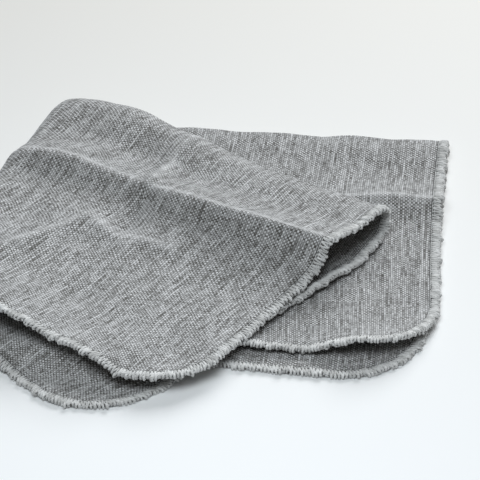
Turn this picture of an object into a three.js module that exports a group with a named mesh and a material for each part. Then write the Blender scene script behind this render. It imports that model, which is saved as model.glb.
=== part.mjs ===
import * as THREE from 'three';

// A face towel of coarse plain-weave cloth with rounded corners and a sewn edge. It is one sheet.
// It is folded in half along its length, with the long fold at the back, and then in half across,
// with the turn at the left. So four layers lie on each other. The outer half of the cloth is the
// lowest layer, goes round the turn and is the top face. The inner half goes round inside it.
// The base is the part that lies under the turn, the flap is the part on top of it, and the flap
// has been swung to the front. Creases of an earlier, tighter fold still stand up as ridges.

// Sizes of the cloth, in millimetres
const clothWidth = 340;
const clothLength = 360;
const clothThickness = 1.2;
const cornerRadius = 34;
const halfWidth = clothWidth / 2;
const halfLength = clothLength / 2;

// The long fold runs a little askew over the cloth: millimetres across for each one along.
const foldSkew = 0.05;

// Heights of the middle of the cloth where it lies on the table, and from one layer to the next
const tableHeight = clothThickness / 2;
const layerStep = 2.5;
const flapLift = 0.4;

// Where the base ends at the front, so that the flap steps down to the table over it
const baseFront = { x: 37, y: -87, slope: -0.087, run: 18, overlap: 20 };

// The plan of each half of the cloth. across is 0 at the long fold and 1 at the long hem.
// baseEnd and flapEnd are the short hems, and turn is the outermost line of the turn.
const outerSheet = {
  baseEnd: [
    { across: 0, x: 99, y: 72 },
    { across: 0.33, x: 91.5, y: 17 },
    { across: 1, x: 74, y: -98 },
  ],
  turn: [
    { across: 0, x: -89.5, y: 93.5 },
    { across: 0.18, x: -99, y: 66 },
    { across: 0.33, x: -109, y: 45 },
    { across: 0.55, x: -122, y: 11 },
    { across: 0.78, x: -134, y: -24 },
    { across: 1, x: -143, y: -52 },
  ],
  flapEnd: [
    { across: 0, x: 66.7, y: 1 },
    { across: 0.32, x: 40, y: -34.5 },
    { across: 0.42, x: 32, y: -41 },
    { across: 0.6, x: 10.5, y: -67.5 },
    { across: 1, x: -28, y: -118 },
  ],
  foldBow: 14,
  baseHemBow: 8,
  flapHemBow: -4,
};
const innerSheet = {
  baseEnd: [
    { across: 0, x: 99, y: 72 },
    { across: 0.33, x: 91.5, y: 17 },
    { across: 1, x: 82, y: -84 },
  ],
  turn: [
    { across: 0, x: -84.5, y: 91.5 },
    { across: 0.18, x: -94, y: 64.5 },
    { across: 0.33, x: -104, y: 43 },
    { across: 0.55, x: -115, y: 9 },
    { across: 0.78, x: -125, y: -25 },
    { across: 1, x: -133, y: -54 },
  ],
  flapEnd: [
    { across: 0, x: 66.7, y: -2 },
    { across: 0.2, x: 50, y: -28 },
    { across: 0.45, x: 20.5, y: -55 },
    { across: 0.74, x: -24.3, y: -96.5 },
    { across: 1, x: -62, y: -126 },
  ],
  foldBow: 14,
  baseHemBow: 6.5,
  flapHemBow: 1,
};

// Heights of the four layers. Each row is a section across the cloth, and along is 0 at the short
// hem and 1 at the turn. The columns are lines that run the length of the cloth.
const lines = {
  fold: 0,
  heave: 0.07,
  rise: 0.18,
  crest: 0.325,
  brow: 0.4,
  foot: 0.52,
  belly: 0.72,
  near: 0.86,
  hem: 1,
};

// One section: its place along the towel, and its heights at the lines above, in their order
function section(along, ...heights) {
  const names = Object.keys(lines);
  return { along, ...Object.fromEntries(names.map((name, k) => [name, heights[k]])) };
}

// The top layer of the flap stands clear of what is under it, and its heights are from the table.
const topLayer = [
  section(0, 18.5, 20.5, 21, 24.5, 13.5, 8.6, 8.2, 7.8, 6),
  section(0.2, 15.5, 18.4, 18.6, 23.5, 14.5, 9, 8.3, 8.2, 7.5),
  section(0.4, 13.5, 17.4, 16.6, 21.5, 14, 10, 9, 10, 12),
  section(0.6, 13.5, 18, 14.6, 18, 13.5, 11, 11.5, 14, 16.5),
  section(0.8, 14.5, 19.4, 14.6, 19, 14, 14, 16.5, 18.5, 20),
  section(1, 13, 16, 14, 16, 14.5, 16, 19, 21.5, 22.5),
];

// The other layers lie on each other, and their heights are above where they would lie flat.
const flapLining = [
  section(0, 0.6, 0.3, 0, 0, 0, 0, 0, 0, 0),
  section(0.4, 1.6, 1, 0.6, 0, 0, 0, 0, 0, 0),
  section(0.6, 2, 1.2, 0.6, 0, 0, 0, 0, 0, 0),
  section(0.8, 2.6, 1.7, 1, 0.5, 1, 1, 2, 2.5, 3),
  section(1, 3, 2.4, 1.6, 1.2, 1.2, 2, 3, 4.5, 5.5),
];
const baseUpper = [
  section(0, 1.8, 3.2, 1.2, 6, 1.5, 0, 0, 1, 4.4),
  section(0.08, 1.8, 3.2, 1.1, 5.8, 1.3, 0, 0, 1.6, 6.4),
  section(0.14, 1.8, 3.2, 1.1, 5.6, 1, 0, 0, 1.6, 7.4),
  section(0.19, 1.7, 3, 1.1, 4, 0.7, 0, 0, 0.8, 4.4),
  section(0.24, 1.6, 2.7, 1, 2.4, 0.4, 0, 0, 0, 0.4),
  section(0.3, 1.4, 2, 0.8, 1.2, 0.1, 0, 0, 0, 0.6),
  section(0.355, 1, 1, 0.6, 0.6, 0, 0, 0, 0.4, 1.6),
  section(0.41, 1, 0.9, 0.5, 0.4, 0, 0, 0, 0, 0),
  section(0.47, 1, 0.9, 0.5, 0.3, 0, 0, 0, 0.2, 0.8),
  section(0.52, 1, 0.9, 0.5, 0.3, 0, 0, 0, 0.2, 1),
  section(0.6, 1, 0.8, 0.5, 0.2, 0, 0, 0, 0, 0),
  section(1, 1.4, 0.9, 0.4, 0, 0, 0, 0, 0, 0),
];
const baseLowest = [
  section(0, 0, 0, 0, 0, 0, 0, 0, 0, 0),
  section(1, 0, 0, 0, 0, 0, 0, 0, 0, 0),
];

// The long hems are a little slack and stand up in low waves. reach is how far along they go.
const waveStart = 0.8;
const hemWaves = {
  top: [
    { rise: 2.2, pitch: 54, shift: 8.5, reach: 1 },
    { rise: 0.8, pitch: 23, shift: 3, reach: 0.8 },
  ],
  lining: [{ rise: 0.7, pitch: 43, shift: 11, reach: 1 }],
  upper: [{ rise: 0.5, pitch: 13, shift: 2, reach: 0.4 }],
};

// Creases in the cloth: ridges, and troughs where rise is below zero. along and across are as
// above, at the start and the end of each crease. sharp is 0 for a soft bell and 1 for a point.
const topCreases = [
  { along: 0.57, across: 0.02, toAlong: 0.583, toAcross: 0.17, breadth: 11, rise: 3, sharp: 0.8 },
  { along: 0.583, across: 0.15, toAlong: 0.565, toAcross: 0.32, breadth: 9, rise: 3, sharp: 0.9 },
  { along: 0.575, across: 0.345, toAlong: 0.535, toAcross: 0.35, breadth: 5, rise: -2.4, sharp: 0.3 },
  { along: 0.555, across: 0.34, toAlong: 0.545, toAcross: 0.49, breadth: 8, rise: -3, sharp: 0.6 },
  { along: 0.86, across: 0.86, toAlong: 0.65, toAcross: 0.475, breadth: 13, rise: 4, sharp: 0.9 },
  { along: 0.67, across: 0.49, toAlong: 0.5, toAcross: 0.53, breadth: 10, rise: 2.8, sharp: 0.9 },
  { along: 0.55, across: 0.51, toAlong: 0.36, toAcross: 0.49, breadth: 10, rise: 2, sharp: 0.8 },
  { along: 0.53, across: 0.6, toAlong: 0.47, toAcross: 0.86, breadth: 14, rise: -1.2, sharp: 0.2 },
  { along: 0.66, across: 0.06, toAlong: 0.72, toAcross: 0.26, breadth: 12, rise: -1.2, sharp: 0 },
  { along: 0.88, across: 0.42, toAlong: 0.8, toAcross: 0.58, breadth: 14, rise: -1.6, sharp: 0 },
  { along: 0.3, across: 0.62, toAlong: 0.22, toAcross: 0.92, breadth: 16, rise: 1, sharp: 0.2 },
];
const liningCreases = [
  { along: 0, across: 0.2, toAlong: 0, toAcross: 0.34, breadth: 7, rise: 2, sharp: 0 },
];
const baseCreases = [
  { along: 0.15, across: 0.42, toAlong: 0.2, toAcross: 0.8, breadth: 9, rise: 0.8, sharp: 0.4 },
];

// The pressed crease along the towel has a sharp crest. It shows on the top and at the base's end.
const pressed = { top: { rise: 2.2, breadth: 4.5 }, upper: { rise: 1.8, breadth: 4 } };
const baseShown = { to: 0.3, fade: 0.1 };

// How finely the surface is divided
const turnSpan = 18;
const turnSteps = 7;
const turnCrowding = 1.5;
const baseSteps = 14;
const flapSteps = 13;
const cornerSteps = 4;
const foldSteps = 3;
const lineSteps = { heave: 2, rise: 2, crest: 3, brow: 2, foot: 2, belly: 3, near: 2, hem: 3 };

// A smooth curve through the rows of a table, at any value of its first column
function along(rows, station, column, at) {
  const last = rows.length - 1;
  const x = Math.min(Math.max(at, rows[0][station]), rows[last][station]);
  let i = 0;
  while (i < last - 1 && x >= rows[i + 1][station]) i += 1;
  const slopeAt = (k) => {
    const before = rows[Math.max(k - 1, 0)];
    const after = rows[Math.min(k + 1, last)];
    return (after[column] - before[column]) / (after[station] - before[station]);
  };
  const span = rows[i + 1][station] - rows[i][station];
  const t = (x - rows[i][station]) / span;
  const startPart = 1 - t * t * (3 - 2 * t);
  const rise = t * (1 - t) * (1 - t) * slopeAt(i) - t * t * (1 - t) * slopeAt(i + 1);
  return startPart * rows[i][column] + (1 - startPart) * rows[i + 1][column] + rise * span;
}

function smoothStep(x) {
  const t = Math.min(Math.max(x, 0), 1);
  return t * t * (3 - 2 * t);
}

function mix(a, b, share) {
  return a + (b - a) * share;
}

// Height of a layer from its table: a curve along each line, then one across the lines
function tableLevel(layer, alongAt, acrossAt) {
  const section = Object.keys(lines).map((name) => ({
    across: lines[name],
    height: along(layer, 'along', name, alongAt),
  }));
  return along(section, 'across', 'height', acrossAt);
}

function wave(waves, alongAt, acrossAt) {
  const edge = smoothStep((acrossAt - waveStart) / (1 - waveStart));
  return waves.reduce((sum, { rise, pitch, shift, reach }) => {
    const turns = (alongAt * halfLength + shift) / pitch;
    const fade = smoothStep((reach - alongAt) / 0.1 + 1);
    return sum + edge * fade * rise * (1 + Math.sin(2 * Math.PI * turns)) / 2;
  }, 0);
}

// A crease fades out at both ends.
function crease(row, alongAt, acrossAt) {
  const start = new THREE.Vector2(row.along * halfLength, row.across * halfWidth);
  const run = new THREE.Vector2(row.toAlong * halfLength, row.toAcross * halfWidth).sub(start);
  const place = new THREE.Vector2(alongAt * halfLength, acrossAt * halfWidth).sub(start);
  const share = Math.min(Math.max(place.dot(run) / run.lengthSq(), 0), 1);
  const away = place.distanceTo(run.clone().multiplyScalar(share)) / row.breadth;
  const fade = Math.sin(Math.PI * mix(0.15, 0.85, share));
  return row.rise * fade * mix(Math.exp(-1.5 * away * away), Math.exp(-2.2 * away), row.sharp);
}

function creases(rows, alongAt, acrossAt) {
  return rows.reduce((sum, row) => sum + crease(row, alongAt, acrossAt), 0);
}

function pressedCrest({ rise, breadth }, acrossAt) {
  return rise * Math.exp(-Math.abs(acrossAt - lines.crest) * halfWidth / breadth);
}

function topHeight(alongAt, acrossAt) {
  const marks = creases(topCreases, alongAt, acrossAt) + pressedCrest(pressed.top, acrossAt);
  return tableLevel(topLayer, alongAt, acrossAt) + wave(hemWaves.top, alongAt, acrossAt) + marks;
}

function upperHeight(alongAt, acrossAt) {
  const shown = smoothStep((baseShown.to - alongAt) / baseShown.fade);
  const marks = creases(baseCreases, alongAt, acrossAt) + pressedCrest(pressed.upper, acrossAt);
  const loose = tableLevel(baseUpper, alongAt, acrossAt) + wave(hemWaves.upper, alongAt, acrossAt);
  return tableHeight + layerStep + loose + marks * shown;
}

function liningHeight(x, y, alongAt, acrossAt) {
  const front = baseFront.y + (x - baseFront.x) * baseFront.slope;
  const onBase = smoothStep((y - front + baseFront.overlap) / baseFront.run);
  const support = tableHeight + (2 * layerStep + flapLift) * onBase;
  const loose = tableLevel(flapLining, alongAt, acrossAt) + wave(hemWaves.lining, alongAt, acrossAt);
  return support + loose + creases(liningCreases, alongAt, acrossAt);
}

const layers = {
  outer: {
    sheet: outerSheet,
    low: (alongAt, acrossAt) => tableHeight + tableLevel(baseLowest, alongAt, acrossAt),
    high: (x, y, alongAt, acrossAt) => topHeight(alongAt, acrossAt),
  },
  inner: {
    sheet: innerSheet,
    low: upperHeight,
    high: liningHeight,
  },
};

// The path of one half of the cloth from the base's short hem, round the turn, to the flap's
function pathAt(layer, across) {
  const { sheet, low, high } = layer;
  const planPoint = (rows) => new THREE.Vector2(
    along(rows, 'across', 'x', across),
    along(rows, 'across', 'y', across),
  );
  const turn = planPoint(sheet.turn);
  const baseEnd = planPoint(sheet.baseEnd);
  const flapEnd = planPoint(sheet.flapEnd);
  const bottom = low(1, across);
  const top = high(turn.x, turn.y, 1, across);
  const radius = (top - bottom) / 2;
  const arc = radius * Math.PI / 2;
  const base = baseEnd.distanceTo(turn) - radius + arc;
  const flap = flapEnd.distanceTo(turn) - radius + arc;
  const turnPlace = base / (base + flap) * clothLength - halfLength;
  return { turn, baseEnd, flapEnd, bottom, top, radius, arc, base, flap, turnPlace };
}

// The middle of the cloth at a place: length runs from -halfLength at the base's short hem
function sheetPoint(layer, length, across) {
  const { sheet, low, high } = layer;
  const path = pathAt(layer, across);
  const fromTurn = (length + halfLength) / clothLength * (path.base + path.flap) - path.base;
  const onFlap = fromTurn >= 0;
  const distance = Math.abs(fromTurn);
  const angle = Math.min(distance / path.radius, Math.PI / 2);
  const inTurn = distance < path.arc;
  const out = inTurn ? path.radius * (1 - Math.cos(angle)) : path.radius + distance - path.arc;
  const end = onFlap ? path.flapEnd : path.baseEnd;
  const run = end.clone().sub(path.turn);
  const share = out / run.length();
  const backwards = new THREE.Vector2(-run.y, run.x).normalize();
  backwards.multiplyScalar(Math.sign(backwards.y));
  const hemArch = 4 * share * (1 - share) * across ** 2;
  const foldArch = Math.sin(Math.PI * Math.min(Math.max(share, 0), 1) ** 0.42) ** 2 * (1 - across) ** 2;
  const flapBow = sheet.foldBow * foldArch - sheet.flapHemBow * hemArch;
  const bow = onFlap ? flapBow : -sheet.baseHemBow * hemArch;
  const plan = path.turn.clone().addScaledVector(run, share).addScaledVector(backwards, bow);
  const alongAt = 1 - share;
  const lowAt = onFlap ? path.bottom : low(alongAt, across);
  const highAt = onFlap ? high(plan.x, plan.y, alongAt, across) : path.top;
  const lift = (1 + (onFlap ? 1 : -1) * Math.sin(angle)) / 2;
  return new THREE.Vector3(plan.x, plan.y, mix(lowAt, highAt, lift));
}

// The long fold is half a circle across the gap between the outer and the inner half. step runs
// from 0 at the middle of the fold to 1 where the cloth lies flat, and on to 2 at the long hem.
function clothPoint(side, step, lengthOf) {
  const layer = side < 0 ? layers.outer : layers.inner;
  const atFold = lengthOf(layer, 0);
  const gap = sheetPoint(layers.outer, atFold, 0).distanceTo(sheetPoint(layers.inner, atFold, 0));
  const foldShare = gap / 2 / halfWidth;
  if (step >= 1) {
    const across = mix(foldShare, 1, step - 1);
    return sheetPoint(layer, lengthOf(layer, across), across);
  }
  const angle = step * Math.PI / 2;
  const across = foldShare * (1 - Math.cos(angle));
  const outer = sheetPoint(layers.outer, lengthOf(layers.outer, across), across);
  const inner = sheetPoint(layers.inner, lengthOf(layers.inner, across), across);
  return outer.lerp(inner, (1 + side * Math.sin(angle)) / 2);
}

// Rows of the surface: distances from the turn, close together in it, to the short hem
function rowPlace(row, steps, reach) {
  const straight = reach - turnSpan - cornerRadius;
  if (row <= turnSteps) return turnSpan * (row / turnSteps) ** turnCrowding;
  if (row <= turnSteps + steps) return turnSpan + straight * (row - turnSteps) / steps;
  return reach - cornerRadius + cornerRadius * (row - turnSteps - steps) / cornerSteps;
}

// Columns of the surface: steps of clothPoint, from the long fold to the long hem
function columnSteps() {
  const steps = [];
  for (let i = 0; i < foldSteps; i += 1) steps.push(i / foldSteps);
  let from = lines.fold;
  for (const [name, count] of Object.entries(lineSteps)) {
    for (let i = 0; i < count; i += 1) steps.push(1 + mix(from, lines[name], i / count));
    from = lines[name];
  }
  steps.push(2);
  return steps;
}

// The corners are quarter circles: places near a square corner are drawn in onto the round one.
function roundCorner(toHem, toEnd) {
  if (toHem >= cornerRadius || toEnd >= cornerRadius) return { toHem, toEnd };
  const x = 1 - toHem / cornerRadius;
  const y = 1 - toEnd / cornerRadius;
  return {
    toHem: cornerRadius * (1 - x * Math.sqrt(1 - y * y / 2)),
    toEnd: cornerRadius * (1 - y * Math.sqrt(1 - x * x / 2)),
  };
}

function gridPoint(side, step, row) {
  const onFlap = row >= 0;
  const steps = onFlap ? flapSteps : baseSteps;
  const direction = onFlap ? 1 : -1;
  const skewed = halfWidth + side * foldSkew * direction * halfLength;
  const toHem = Math.min(1, 2 - step) * skewed;
  const lengthOf = (layer, across, toEndOf = (value) => value) => {
    const { turnPlace } = pathAt(layer, across);
    const reach = halfLength - direction * turnPlace;
    const toEnd = toEndOf(reach - rowPlace(Math.abs(row), steps, reach));
    return direction * (halfLength - toEnd);
  };
  if (step <= 1) return clothPoint(side, step, lengthOf);
  const { turnPlace } = pathAt(side < 0 ? layers.outer : layers.inner, step - 1);
  const reach = halfLength - direction * turnPlace;
  const square = reach - rowPlace(Math.abs(row), steps, reach);
  const rounded = roundCorner(toHem, square);
  const roundedStep = 2 - rounded.toHem / skewed;
  return clothPoint(side, roundedStep, (layer, across) => (
    lengthOf(layer, across, (toEnd) => toEnd + rounded.toEnd - square)
  ));
}

function middleSurface() {
  const half = columnSteps();
  const columns = [
    ...half.slice(1).reverse().map((step) => ({ side: -1, step })),
    ...half.map((step) => ({ side: 1, step })),
  ];
  const lowest = -(turnSteps + baseSteps + cornerSteps);
  const highest = turnSteps + flapSteps + cornerSteps;
  const grid = [];
  for (let row = lowest; row <= highest; row += 1) {
    grid.push(columns.map(({ side, step }) => gridPoint(side, step, row)));
  }
  return grid;
}

// Directions square to the cloth, from the four faces that meet at each point
function squareTo(grid) {
  const normals = grid.map((points) => points.map(() => new THREE.Vector3()));
  for (let i = 0; i + 1 < grid.length; i += 1) {
    for (let j = 0; j + 1 < grid[i].length; j += 1) {
      const one = grid[i + 1][j + 1].clone().sub(grid[i][j]);
      const other = grid[i][j + 1].clone().sub(grid[i + 1][j]);
      const face = one.cross(other);
      for (const [a, b] of [[i, j], [i + 1, j], [i, j + 1], [i + 1, j + 1]]) normals[a][b].add(face);
    }
  }
  return normals.map((row) => row.map((normal) => normal.normalize()));
}

// The sheet's two faces lie half a thickness to each side, and a rim closes it all round.
function clothGeometry(grid) {
  const rows = grid.length;
  const columns = grid[0].length;
  const normals = squareTo(grid);
  const positions = [];
  for (const side of [1, -1]) {
    grid.forEach((points, i) => points.forEach((point, j) => {
      const place = point.clone().addScaledVector(normals[i][j], side * clothThickness / 2);
      positions.push(place.x, place.y, place.z);
    }));
  }
  const front = (i, j) => i * columns + j;
  const back = (i, j) => rows * columns + i * columns + j;
  const triangles = [];
  const quad = (a, b, c, d) => triangles.push(a, c, b, a, d, c);
  for (let i = 0; i + 1 < rows; i += 1) {
    for (let j = 0; j + 1 < columns; j += 1) {
      const rising = (i < rows / 2) === (j < columns / 2);
      const corners = [[i, j], [i + 1, j], [i + 1, j + 1], [i, j + 1]];
      const turned = rising ? corners : [...corners.slice(1), corners[0]];
      quad(...turned.map(([a, b]) => back(a, b)));
      quad(...turned.map(([a, b]) => front(a, b)).reverse());
    }
  }
  const rim = [];
  for (let j = 0; j < columns - 1; j += 1) rim.push([0, j]);
  for (let i = 0; i < rows - 1; i += 1) rim.push([i, columns - 1]);
  for (let j = columns - 1; j > 0; j -= 1) rim.push([rows - 1, j]);
  for (let i = rows - 1; i > 0; i -= 1) rim.push([i, 0]);
  rim.forEach((here, k) => {
    const next = rim[(k + 1) % rim.length];
    quad(front(...here), back(...here), back(...next), front(...next));
  });
  const geometry = new THREE.BufferGeometry();
  geometry.setAttribute('position', new THREE.Float32BufferAttribute(positions, 3));
  geometry.setIndex(triangles);
  return geometry;
}

// The towel stands over the origin: the middle of its box is on the Z axis.
function centred(geometry) {
  geometry.computeBoundingBox();
  const { min, max } = geometry.boundingBox;
  geometry.translate(-(min.x + max.x) / 2, -(min.y + max.y) / 2, -min.z);
  geometry.computeVertexNormals();
  return geometry;
}

const greyCloth = new THREE.MeshStandardMaterial({ color: 0x94938c, roughness: 0.95, metalness: 0 });
const towel = new THREE.Mesh(centred(clothGeometry(middleSurface())), greyCloth);
towel.name = 'towel';

const foldedTowel = new THREE.Group();
foldedTowel.add(towel);

export default foldedTowel;
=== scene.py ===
import math

import bpy
import numpy as np
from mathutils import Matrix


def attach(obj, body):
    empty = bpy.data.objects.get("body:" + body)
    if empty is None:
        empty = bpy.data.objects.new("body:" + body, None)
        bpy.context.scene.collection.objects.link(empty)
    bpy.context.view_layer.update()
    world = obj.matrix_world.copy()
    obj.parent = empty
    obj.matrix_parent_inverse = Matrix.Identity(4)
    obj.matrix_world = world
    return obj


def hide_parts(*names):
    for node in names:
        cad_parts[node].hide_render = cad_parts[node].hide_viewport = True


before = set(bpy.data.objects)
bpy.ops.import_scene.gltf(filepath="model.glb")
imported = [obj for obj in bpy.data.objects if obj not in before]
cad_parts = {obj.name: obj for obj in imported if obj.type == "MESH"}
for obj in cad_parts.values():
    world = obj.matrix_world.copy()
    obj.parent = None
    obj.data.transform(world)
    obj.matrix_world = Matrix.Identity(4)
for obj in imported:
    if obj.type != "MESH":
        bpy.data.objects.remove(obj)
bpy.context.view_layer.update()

MM = 0.001


# The towel's cloth
# One rectangle of coarse plain-weave cloth, pale yarn one way and dark yarn the other, with
# rounded corners. It is folded in half along its length, then in half across, and its upper
# half, the flap, is swung to the front. Pressed creases of an earlier fold still stand up.

CLOTH_WIDTH = 340.0
CLOTH_LENGTH = 360.0
CORNER_RADIUS = 34.0
CLOTH_THICKNESS = 0.9
SOLID_THICKNESS = 1.2
HALF_WIDTH = CLOTH_WIDTH / 2
HALF_LENGTH = CLOTH_LENGTH / 2

# The long fold runs a little askew over the cloth: millimetres across for each one along.
FOLD_SKEW = 0.05

# Middle of a layer that lies on the table, the step up to the next one, and the flap's lift
TABLE_HEIGHT = SOLID_THICKNESS / 2
LAYER_STEP = 2.5
FLAP_LIFT = 0.4

# The base's front hem is a line on the table: a place on it and its slope. The flap's lining
# comes down to the table in a run of this length, and starts this far in front of the hem.
BASE_FRONT = {"x": 37, "y": -87, "slope": -0.087, "run": 18, "overlap": 20}

# The plan of each half of the cloth: across from the long fold, 0, to the long hem, 1.
OUTER_SHEET = {
    "base_end": [(0, 99, 72), (0.33, 91.5, 17), (1, 74, -98)],
    "turn": [
        (0, -89.5, 93.5),
        (0.18, -99, 66),
        (0.33, -109, 45),
        (0.55, -122, 11),
        (0.78, -134, -24),
        (1, -143, -52),
    ],
    "flap_end": [
        (0, 66.7, 1),
        (0.32, 40, -34.5),
        (0.42, 32, -41),
        (0.6, 10.5, -67.5),
        (1, -28, -118),
    ],
    "fold_bow": 14,
    "base_hem_bow": 8,
    "flap_hem_bow": -4,
}
INNER_SHEET = {
    "base_end": [(0, 99, 72), (0.33, 91.5, 17), (1, 82, -84)],
    "turn": [
        (0, -84.5, 91.5),
        (0.18, -94, 64.5),
        (0.33, -104, 43),
        (0.55, -115, 9),
        (0.78, -125, -25),
        (1, -133, -54),
    ],
    "flap_end": [
        (0, 66.7, -2),
        (0.2, 50, -28),
        (0.45, 20.5, -55),
        (0.74, -24.3, -96.5),
        (1, -62, -126),
    ],
    "fold_bow": 14,
    "base_hem_bow": 6.5,
    "flap_hem_bow": 1,
}

# Heights of the four layers. A row is a section across the cloth, at a share of the way from
# the short hem to the turn. The columns are lines that run the length of the cloth.
LINES = {
    "fold": 0,
    "heave": 0.07,
    "rise": 0.18,
    "crest": 0.325,
    "brow": 0.4,
    "foot": 0.52,
    "belly": 0.72,
    "near": 0.86,
    "hem": 1,
}
TOP_LAYER = {
    0: (18.5, 20.5, 21, 24.5, 13.5, 8.6, 8.2, 7.8, 6),
    0.2: (15.5, 18.4, 18.6, 23.5, 14.5, 9, 8.3, 8.2, 7.5),
    0.4: (13.5, 17.4, 16.6, 21.5, 14, 10, 9, 10, 12),
    0.6: (13.5, 18, 14.6, 18, 13.5, 11, 11.5, 14, 16.5),
    0.8: (14.5, 19.4, 14.6, 19, 14, 14, 16.5, 18.5, 20),
    1: (13, 16, 14, 16, 14.5, 16, 19, 21.5, 22.5),
}
FLAP_LINING = {
    0: (0.6, 0.3, 0, 0, 0, 0, 0, 0, 0),
    0.4: (1.6, 1, 0.6, 0, 0, 0, 0, 0, 0),
    0.6: (2, 1.2, 0.6, 0, 0, 0, 0, 0, 0),
    0.8: (2.6, 1.7, 1, 0.5, 1, 1, 2, 2.5, 3),
    1: (3, 2.4, 1.6, 1.2, 1.2, 2, 3, 4.5, 5.5),
}
BASE_UPPER = {
    0: (1.8, 3.2, 1.2, 6, 1.5, 0, 0, 1, 4.4),
    0.08: (1.8, 3.2, 1.1, 5.8, 1.3, 0, 0, 1.6, 6.4),
    0.14: (1.8, 3.2, 1.1, 5.6, 1, 0, 0, 1.6, 7.4),
    0.19: (1.7, 3, 1.1, 4, 0.7, 0, 0, 0.8, 4.4),
    0.24: (1.6, 2.7, 1, 2.4, 0.4, 0, 0, 0, 0.4),
    0.3: (1.4, 2, 0.8, 1.2, 0.1, 0, 0, 0, 0.6),
    0.355: (1, 1, 0.6, 0.6, 0, 0, 0, 0.4, 1.6),
    0.41: (1, 0.9, 0.5, 0.4, 0, 0, 0, 0, 0),
    0.47: (1, 0.9, 0.5, 0.3, 0, 0, 0, 0.2, 0.8),
    0.52: (1, 0.9, 0.5, 0.3, 0, 0, 0, 0.2, 1),
    0.6: (1, 0.8, 0.5, 0.2, 0, 0, 0, 0, 0),
    1: (1.4, 0.9, 0.4, 0, 0, 0, 0, 0, 0),
}

# The long hems are a little slack and stand up in low waves: rise, pitch, shift, and how far
# along from the short hem they reach. They start at this share of the way across, and fade
# out along the hem over this share.
WAVE_START = 0.8
WAVE_FADE = 0.1
HEM_WAVES = {
    "top": [(2.2, 54, 8.5, 1.0), (0.8, 23, 3, 0.8)],
    "lining": [(0.7, 43, 11, 1.0)],
    "upper": [(0.5, 13, 2, 0.4)],
}

# Creases pressed into the cloth while it was folded tighter: along and across at each end,
# breadth and rise in millimetres, and how sharp the crest is, from a soft bell, 0, to a
# pointed one, 1
TOP_CREASES = [
    # the ridge straight across, from the long fold to the pressed crease, and the peak on it
    (0.57, 0.02, 0.583, 0.17, 11, 3.0, 0.8),
    (0.583, 0.15, 0.565, 0.32, 9, 3.0, 0.9),
    (0.585, 0.29, 0.545, 0.29, 5, 1.3, 0.5),
    # the trough that goes on from it to the front, and the dent where it starts
    (0.575, 0.345, 0.535, 0.35, 5, -2.4, 0.3),
    (0.555, 0.34, 0.545, 0.49, 8, -3.0, 0.6),
    # the crest that runs from the front hem up to its corner, and its short arm to the right
    (0.86, 0.86, 0.65, 0.475, 13, 4.0, 0.9),
    (0.67, 0.49, 0.50, 0.53, 10, 2.8, 0.9),
    (0.55, 0.51, 0.36, 0.49, 10, 2.0, 0.8),
    (0.53, 0.60, 0.47, 0.86, 14, -1.2, 0.2),
    # slack places between them
    (0.66, 0.06, 0.72, 0.26, 12, -1.2, 0),
    (0.88, 0.42, 0.80, 0.58, 14, -1.6, 0),
    (0.30, 0.62, 0.22, 0.92, 16, 1.0, 0.2),
]
BASE_CREASES = [
    (0.068, 0.40, 0.060, 0.80, 3.2, -1.0, 0.6),
    (0.034, 0.38, 0.034, 0.84, 2.6, 0.6, 0.6),
    (0.15, 0.42, 0.20, 0.80, 9, 0.8, 0.4),
]
LINING_CREASES = [
    (0.0, 0.2, 0.0, 0.34, 7, 2.0, 0),
]

# How fast a bell and a pointed crest fall, and the share of its height a crease has at its
# ends, as a stretch of a sine
BELL_FALL = 1.5
POINT_FALL = 2.2
ENDS_START = 0.15
ENDS_SPAN = 0.7

# The pressed crease, a third of the way across, has a sharp crest: rise and breadth.
PRESSED_AT = 0.325
PRESSED = {"top": (2.2, 4.5), "upper": (1.8, 4.0)}

# On the base the creases fade out where the flap covers it.
BASE_SHOWN = 0.3
BASE_FADE = 0.1

# The long fold bows out most near the turn, and a place may be a little past the hem.
FOLD_BOW_LEAN = 0.42
PAST_HEM = 1.02


def through(stations, values, at):
    """A smooth curve through values at stations, for every place in at."""
    place = np.asarray(stations, float)
    level = np.asarray(values, float)
    at = np.clip(at, place[0], place[-1])
    span = place[2:] - place[:-2]
    if level.ndim > 1:
        span = span[:, None]
    slope = np.empty_like(level)
    slope[1:-1] = (level[2:] - level[:-2]) / span
    slope[0] = (level[1] - level[0]) / (place[1] - place[0])
    slope[-1] = (level[-1] - level[-2]) / (place[-1] - place[-2])
    before = np.clip(np.searchsorted(place, at, side="right") - 1, 0, len(place) - 2)
    step = place[before + 1] - place[before]
    t = (at - place[before]) / step

    def pick(rows, index):
        return rows[index] if rows.ndim == 1 else rows[index, np.arange(rows.shape[1])]

    leaving = t * (1 - t) * (1 - t) * pick(slope, before)
    arriving = t * t * (1 - t) * pick(slope, before + 1)
    start = 1 - t * t * (3 - 2 * t)
    straight = start * pick(level, before) + (1 - start) * pick(level, before + 1)
    return straight + (leaving - arriving) * step


def smooth_step(x):
    t = np.clip(x, 0, 1)
    return t * t * (3 - 2 * t)


def table_level(layer, along, across):
    stations = list(LINES.values())
    sections = np.stack([through(stations, row, across) for row in layer.values()])
    return through(list(layer), sections, along)


def hem_wave(name, along, across):
    edge = smooth_step((across - WAVE_START) / (1 - WAVE_START))
    total = 0
    for rise, pitch, shift, reach in HEM_WAVES[name]:
        wave = (1 + np.sin(2 * np.pi * (along * HALF_LENGTH + shift) / pitch)) / 2
        total = total + edge * rise * wave * smooth_step((reach - along) / WAVE_FADE + 1)
    return total


def pressed_crease(name, across):
    rise, breadth = PRESSED[name]
    away = np.abs(across - PRESSED_AT) * HALF_WIDTH
    return rise * np.exp(-away / breadth)


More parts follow.
